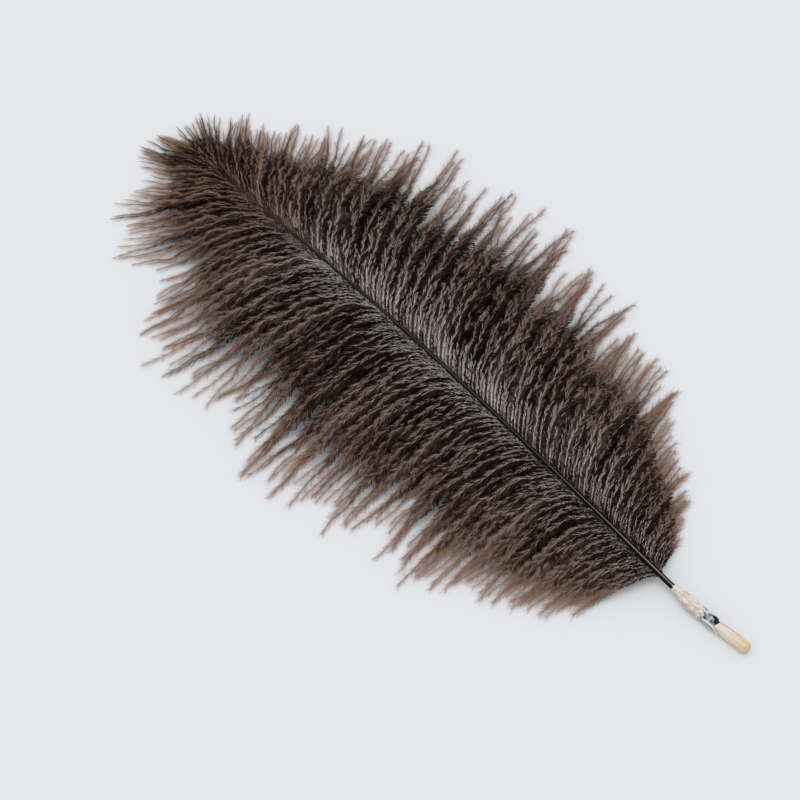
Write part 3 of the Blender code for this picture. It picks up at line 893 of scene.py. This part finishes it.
def shaft_place(y, angle, radius):
    """A point beside the shaft's middle: y along it, at an angle from its right-hand side, upwards."""
    t = y / SHAFT_LENGTH
    direction = shaft_direction(t)
    across = direction.cross(Vector((0.0, 0.0, 1.0))).normalized()
    above = across.cross(direction)
    return shaft_point(t) + radius * (math.cos(angle) * across + math.sin(angle) * above)


def turns(sides):
    """The angles of this many places round the shaft."""
    return [2.0 * math.pi * k / sides for k in range(sides)]


def rings_at(lengths, sides, radius):
    """Rings of points round the shaft at these lengths along it, out to radius(y, angle)."""
    return [[shaft_place(y, angle, radius(y, angle)) for angle in turns(sides)] for y in lengths]


def skin(rings, ends=True):
    """A skin over rings of points, closed at both ends or else from the last ring to the first."""
    bm = bmesh.new()
    loops = [[bm.verts.new((p.x, p.y, max(p.z, 0.0))) for p in ring] for ring in rings]
    count = len(loops[0])
    for first, second in list(zip(loops, loops[1:])) + ([] if ends else [(loops[-1], loops[0])]):
        for i in range(count):
            j = (i + 1) % count
            bm.faces.new((first[i], first[j], second[j], second[i]))
    if ends:
        for loop, turned in ((loops[0], -1), (loops[-1], 1)):
            middle = bm.verts.new(sum((v.co for v in loop), Vector()) / count)
            for i in range(count):
                bm.faces.new((loop[i], loop[(i + 1) % count], middle)[::turned])
    return bm


def new_piece(name, bm, finish):
    bmesh.ops.recalc_face_normals(bm, faces=bm.faces)
    for face in bm.faces:
        face.smooth = True
    mesh = bpy.data.meshes.new(name)
    bm.to_mesh(mesh)
    bm.free()
    mesh.materials.append(finish)
    add_piece(name, mesh)


def rough(y, angle, across, lengthwise, seed):
    """Noise on the quill's skin, with its grain sizes across and along the quill in metres."""
    radius = 0.0013
    return noise.noise(Vector((
        radius * math.cos(angle) / across, radius * math.sin(angle) / across, y / lengthwise + seed,
    )))


def make_rachis(finish):
    """The dark shaft: round above, flatter on its sides, with a shallow groove below."""
    start, count = SHEATH_RADII[-1][0] - 0.0009, 170

    def radius(y, angle):
        uneven = 1.0 + 0.03 * noise.noise(Vector((0.0, y * 160.0, 7.0)))
        below = math.remainder(angle + 0.5 * math.pi, 2.0 * math.pi)
        shape = 1.0 + 0.05 * math.cos(4.0 * angle) - 0.22 * math.exp(-(below / 0.35) ** 2)
        return rachis_radius(y / SHAFT_LENGTH) * uneven * shape

    bm = skin(rings_at([start + (SHAFT_LENGTH - start) * i / count for i in range(count + 1)], 20, radius))
    around = bm.loops.layers.uv.new("OFBake")
    for face in bm.faces:
        for loop in face.loops:
            spot = loop.vert.co
            t = (spot.y - QUILL_END.y) / SHAFT_LENGTH
            out = spot - shaft_point(min(max(t, 0.0), 1.0))
            angle = math.atan2(out.x, out.z) / (2.0 * math.pi)
            loop[around].uv = (min(max(0.5 + angle, 0.004), 0.996), min(max(t, 0.004), 0.996))
    new_piece("rachis", bm, finish)


def make_calamus(finish):
    """The bare horn end: rounded, a little dented where it closes, with faint lengthwise ridges."""
    def radius(y, angle):
        broad, fine = rough(y, angle, 0.0006, 0.006, 1.0), rough(y, angle, 0.0002, 0.003, 5.0)
        return float(along(CALAMUS_RADII, y)) * (1.0 + 0.035 * broad + 0.012 * fine)

    rings = rings_at([(i / 60.0) ** 1.4 * CALAMUS_END for i in range(61)], 36, radius)
    new_piece("calamus", skin(rings), finish)


def make_collar(finish):
    """The waist between the horn end and the sheath, wrapped in a wrinkled clear film."""
    def radius(y, angle):
        wrinkle = 0.07 * rough(y, angle, 0.0007, 0.0009, 11.0) + 0.03 * rough(y, angle, 0.0003, 0.0004, 3.0)
        return float(along(COLLAR_RADII, y)) * (1.06 + wrinkle)

    rings = rings_at([COLLAR_START + COLLAR_LENGTH * i / 36.0 for i in range(37)], 36, radius)
    new_piece("collar", skin(rings), finish)


def make_sheath(finish):
    """The dry sheath round the foot of the shaft: an open tube with cracks along it and ragged ends."""
    low, high = SHEATH_RADII[0][0], SHEATH_RADII[-1][0] + 0.0002
    wall, bore = 0.00012, 0.0012
    count = 56
    outside, inside = [], []
    for i in range(count + 1):
        share = i / count
        outer, inner = [], []
        for angle in turns(48):
            torn = 0.0007 * rough(0.0, angle, 0.0006, 1.0, 21.0) + 0.0004 * rough(0.0, angle, 0.0002, 1.0, 25.0)
            torn_low = 0.0004 * rough(0.0, angle, 0.0005, 1.0, 31.0)
            y = low + torn_low * (1.0 - share) + (high - low + torn * share) * share
            crack = rough(y, angle, 0.00045, 0.004, 41.0)
            depth = -0.09 * math.exp(-(crack / 0.06) ** 2) + 0.05 * rough(y, angle, 0.0009, 0.0016, 51.0)
            radius = float(along(SHEATH_RADII, y)) * (1.0 + depth)
            outer.append(shaft_place(y, angle, radius))
            inner.append(shaft_place(y, angle, min(radius - wall, bore)))
        outside.append(outer)
        inside.append(inner)
    new_piece("sheath", skin(outside + inside[::-1], ends=False), finish)


def add_flake(bm, y, angle, length, width, lift, seed):
    """A thin chip of the sheath, curved as the quill is and lifted at its far end."""
    rows, columns, thick = 7, 5, 0.00006
    surface = CALAMUS_RADII + COLLAR_RADII + SHEATH_RADII + RACHIS_RADII[:1]
    faces = []
    for skin_depth in (0.0, thick):
        grid = []
        for i in range(rows):
            u = i / (rows - 1)
            ragged = 0.25 * noise.noise(Vector((seed, u * 3.0, 1.0)))
            line = []
            for j in range(columns):
                w = (j / (columns - 1) - 0.5) * (1.0 - 0.5 * u**2 + ragged) * width
                place = y + length * (u + 0.2 * noise.noise(Vector((seed, j * 0.7, 9.0))) * u)
                base = float(along(surface, place)) + 0.00003
                radius = base + lift * u**2 + skin_depth
                spot = shaft_place(place, angle + w / base, radius)
                line.append(bm.verts.new((spot.x, spot.y, max(spot.z, skin_depth))))
            grid.append(line)
        faces.append(grid)
    under, over = faces
    for i in range(rows - 1):
        for j in range(columns - 1):
            bm.faces.new((over[i][j], over[i][j + 1], over[i + 1][j + 1], over[i + 1][j]))
            bm.faces.new((under[i][j], under[i + 1][j], under[i + 1][j + 1], under[i][j + 1]))
    rim = [(i, 0) for i in range(rows)] + [(rows - 1, j) for j in range(1, columns)]
    rim += [(i, columns - 1) for i in range(rows - 2, -1, -1)] + [(0, j) for j in range(columns - 2, 0, -1)]
    for (a, b), (c, d) in zip(rim, rim[1:] + rim[:1]):
        bm.faces.new((under[a][b], over[a][b], over[c][d], under[c][d]))


def make_flakes(finish, chance):
    """Chips that peel off the ends of the sheath and from the waist."""
    bm = bmesh.new()
    for i in range(15):  # round the sheath's lower end, over the waist
        angle = 2.0 * math.pi * i / 15 + chance.uniform(-0.2, 0.2)
        length = -chance.uniform(0.0006, 0.0015)
        add_flake(bm, 0.0134, angle, length, 0.0008, chance.uniform(0.0001, 0.0003), i)
    for i in range(7):  # at its upper end
        angle = chance.uniform(0.0, 6.28)
        length = chance.uniform(0.0006, 0.0014)
        add_flake(bm, 0.0200, angle, length, 0.0006, chance.uniform(0.0, 0.0002), 30 + i)
    for i in range(12):  # on its side
        angle = chance.uniform(-0.4, 3.5)
        place = chance.uniform(0.0140, 0.0188)
        length = chance.uniform(0.0008, 0.0018)
        add_flake(bm, place, angle, length, 0.0007, chance.uniform(0.00005, 0.00025), 50 + i)
    new_piece("sheath_flakes", bm, finish)


def make_clear_film(finish):
    """Thin clear film that peels off the waist: one long chip on its left, and shreds round it."""
    bm = bmesh.new()
    for y, degrees, length, width, lift, seed in (
        (0.0122, 168.0, -0.0050, 0.0009, 0.0004, 80),
        (0.0126, 196.0, -0.0036, 0.0008, 0.0006, 84),
        (0.0110, 146.0, -0.0022, 0.0004, 0.0002, 97),
        (0.0128, 120.0, -0.0009, 0.0008, 0.0003, 88),
        (0.0127, 70.0, -0.0014, 0.0007, 0.0004, 92),
    ):
        add_flake(bm, y, math.radians(degrees), length, width, lift, seed)
    new_piece("clear_film", bm, finish)


def make_flecks(finish):
    """Dried dark pulp, stuck to the right of the waist."""
    bm = bmesh.new()
    for y, degrees, size, seed in (
        (0.0098, 38.0, 0.00072, 1), (0.0090, 84.0, 0.00062, 2), (0.0106, 14.0, 0.0004, 3),
    ):
        middle = shaft_place(y, math.radians(degrees), float(along(COLLAR_RADII, y)) + 0.00005)
        lump = bmesh.ops.create_icosphere(bm, subdivisions=3, radius=1.0)["verts"]
        outwards = (middle - shaft_point(y / SHAFT_LENGTH)).normalized()
        for vert in lump:
            swell = 1.0 + 0.5 * noise.noise(vert.co * 1.7 + Vector((seed * 5.0, 0.0, 0.0)))
            offset = vert.co * size * swell
            vert.co = middle + offset - outwards * offset.dot(outwards) * 0.65
    new_piece("collar_flecks", bm, finish)


# ---------------------------------------------------------------------------
# The scene round the feather
# ---------------------------------------------------------------------------

def make_table():
    half = 2.5
    mesh = bpy.data.meshes.new("table")
    mesh.from_pydata(
        [(-half, -half, 0.0), (half, -half, 0.0), (half, half, 0.0), (-half, half, 0.0)], [], [(0, 1, 2, 3)],
    )
    made, _, _ = new_material("Matt white board", Base_Color=linear("#e1e4e7"), Roughness=0.8)
    mesh.materials.append(made)
    table = put_in_scene("table", mesh)


def make_camera():
    """The camera, at the photograph's angle: turned from the quill's end, and raised from level."""
    azimuth, elevation, distance = math.radians(-44.53), math.radians(60.0), 0.39298
    middle = Vector((-0.01223, -0.00206, 0.0))
    lens = bpy.data.cameras.new("camera")
    lens.lens, lens.sensor_width = 75.0, 36.0
    lens.clip_start = 0.01
    camera = put_in_scene("camera", lens)
    level = math.cos(elevation)
    back = Vector((math.sin(azimuth) * level, -math.cos(azimuth) * level, math.sin(elevation)))
    camera.location = middle + back * distance
    camera.rotation_euler = back.to_track_quat("Z", "Y").to_euler()
    bpy.context.scene.camera = camera


def light_studio():
    """A white room, and one large window high on the right."""
    world = bpy.data.worlds.new("Soft white room")
    world.use_nodes = True
    plug(world.node_tree, world.node_tree.nodes["Background"], {"Color": linear("#f8f6f6"), "Strength": 0.90})
    bpy.context.scene.world = world
    window = bpy.data.lights.new("window", "SUN")
    window.angle, window.energy = math.radians(40.0), 0.70
    window.color = linear("#f4f9ff")[:3]
    light = put_in_scene("window", window)
    light.rotation_euler = Vector((0.08, 0.10, 1.15)).to_track_quat("Z", "Y").to_euler()
    bpy.context.scene.view_settings.view_transform = "Standard"


def make_vanes(chance):
    """Both vanes, each in three pieces, and the barbs past the shaft's end."""
    lock_chance = random.Random(SEED)
    right_locks = draw_locks(RIGHT_LENGTHS, lock_chance)
    left_locks = draw_locks(LEFT_LENGTHS, lock_chance)
    tree, finish = barb_tree(), barb_keratin()
    blades = {
        "Broad barbule": barbule_shape("broad_barbule", 0.9, 25.0),
        "Pointed barbule": barbule_shape("pointed_barbule", 0.6, 90.0),
    }
    thirds = (0, round(BARBS_PER_SIDE * 0.36), round(BARBS_PER_SIDE * 0.66), BARBS_PER_SIDE)
    seed = 10
    for name, side, lengths, end_angles, locks in (
        ("right", 1, RIGHT_LENGTHS, RIGHT_END_ANGLES, right_locks),
        ("left", -1, LEFT_LENGTHS, LEFT_END_ANGLES, left_locks),
    ):
        barbs = vane_barbs(side, lengths, end_angles, locks, chance)
        for part, low, high in zip(("lower", "middle", "upper"), thirds, thirds[1:]):
            seed += 10
            grow_barbs(f"{name}_vane_{part}", barbs[low:high], tree, blades, finish, seed)
    grow_barbs("tip_barbs", tip_barbs(chance), tree, blades, finish, seed + 10)
    for blade in blades.values():
        bpy.data.objects.remove(blade)


def main():
    make_camera()
    light_studio()
    make_table()
    chance = random.Random(SEED + 1)
    make_vanes(chance)
    make_rachis(rachis_keratin())
    make_calamus(calamus_horn())
    make_collar(collar_film())
    sheath_skin = sheath_film("Chalky dry sheath", "#e9e3d9", "#b5ab9e", 0.85)
    make_sheath(sheath_skin)
    make_flakes(sheath_skin, chance)
    make_clear_film(sheath_film("Clear dried film", "#eae9e6", "#a9a7a3", 0.35))
    make_flecks(dried_pulp())


main()
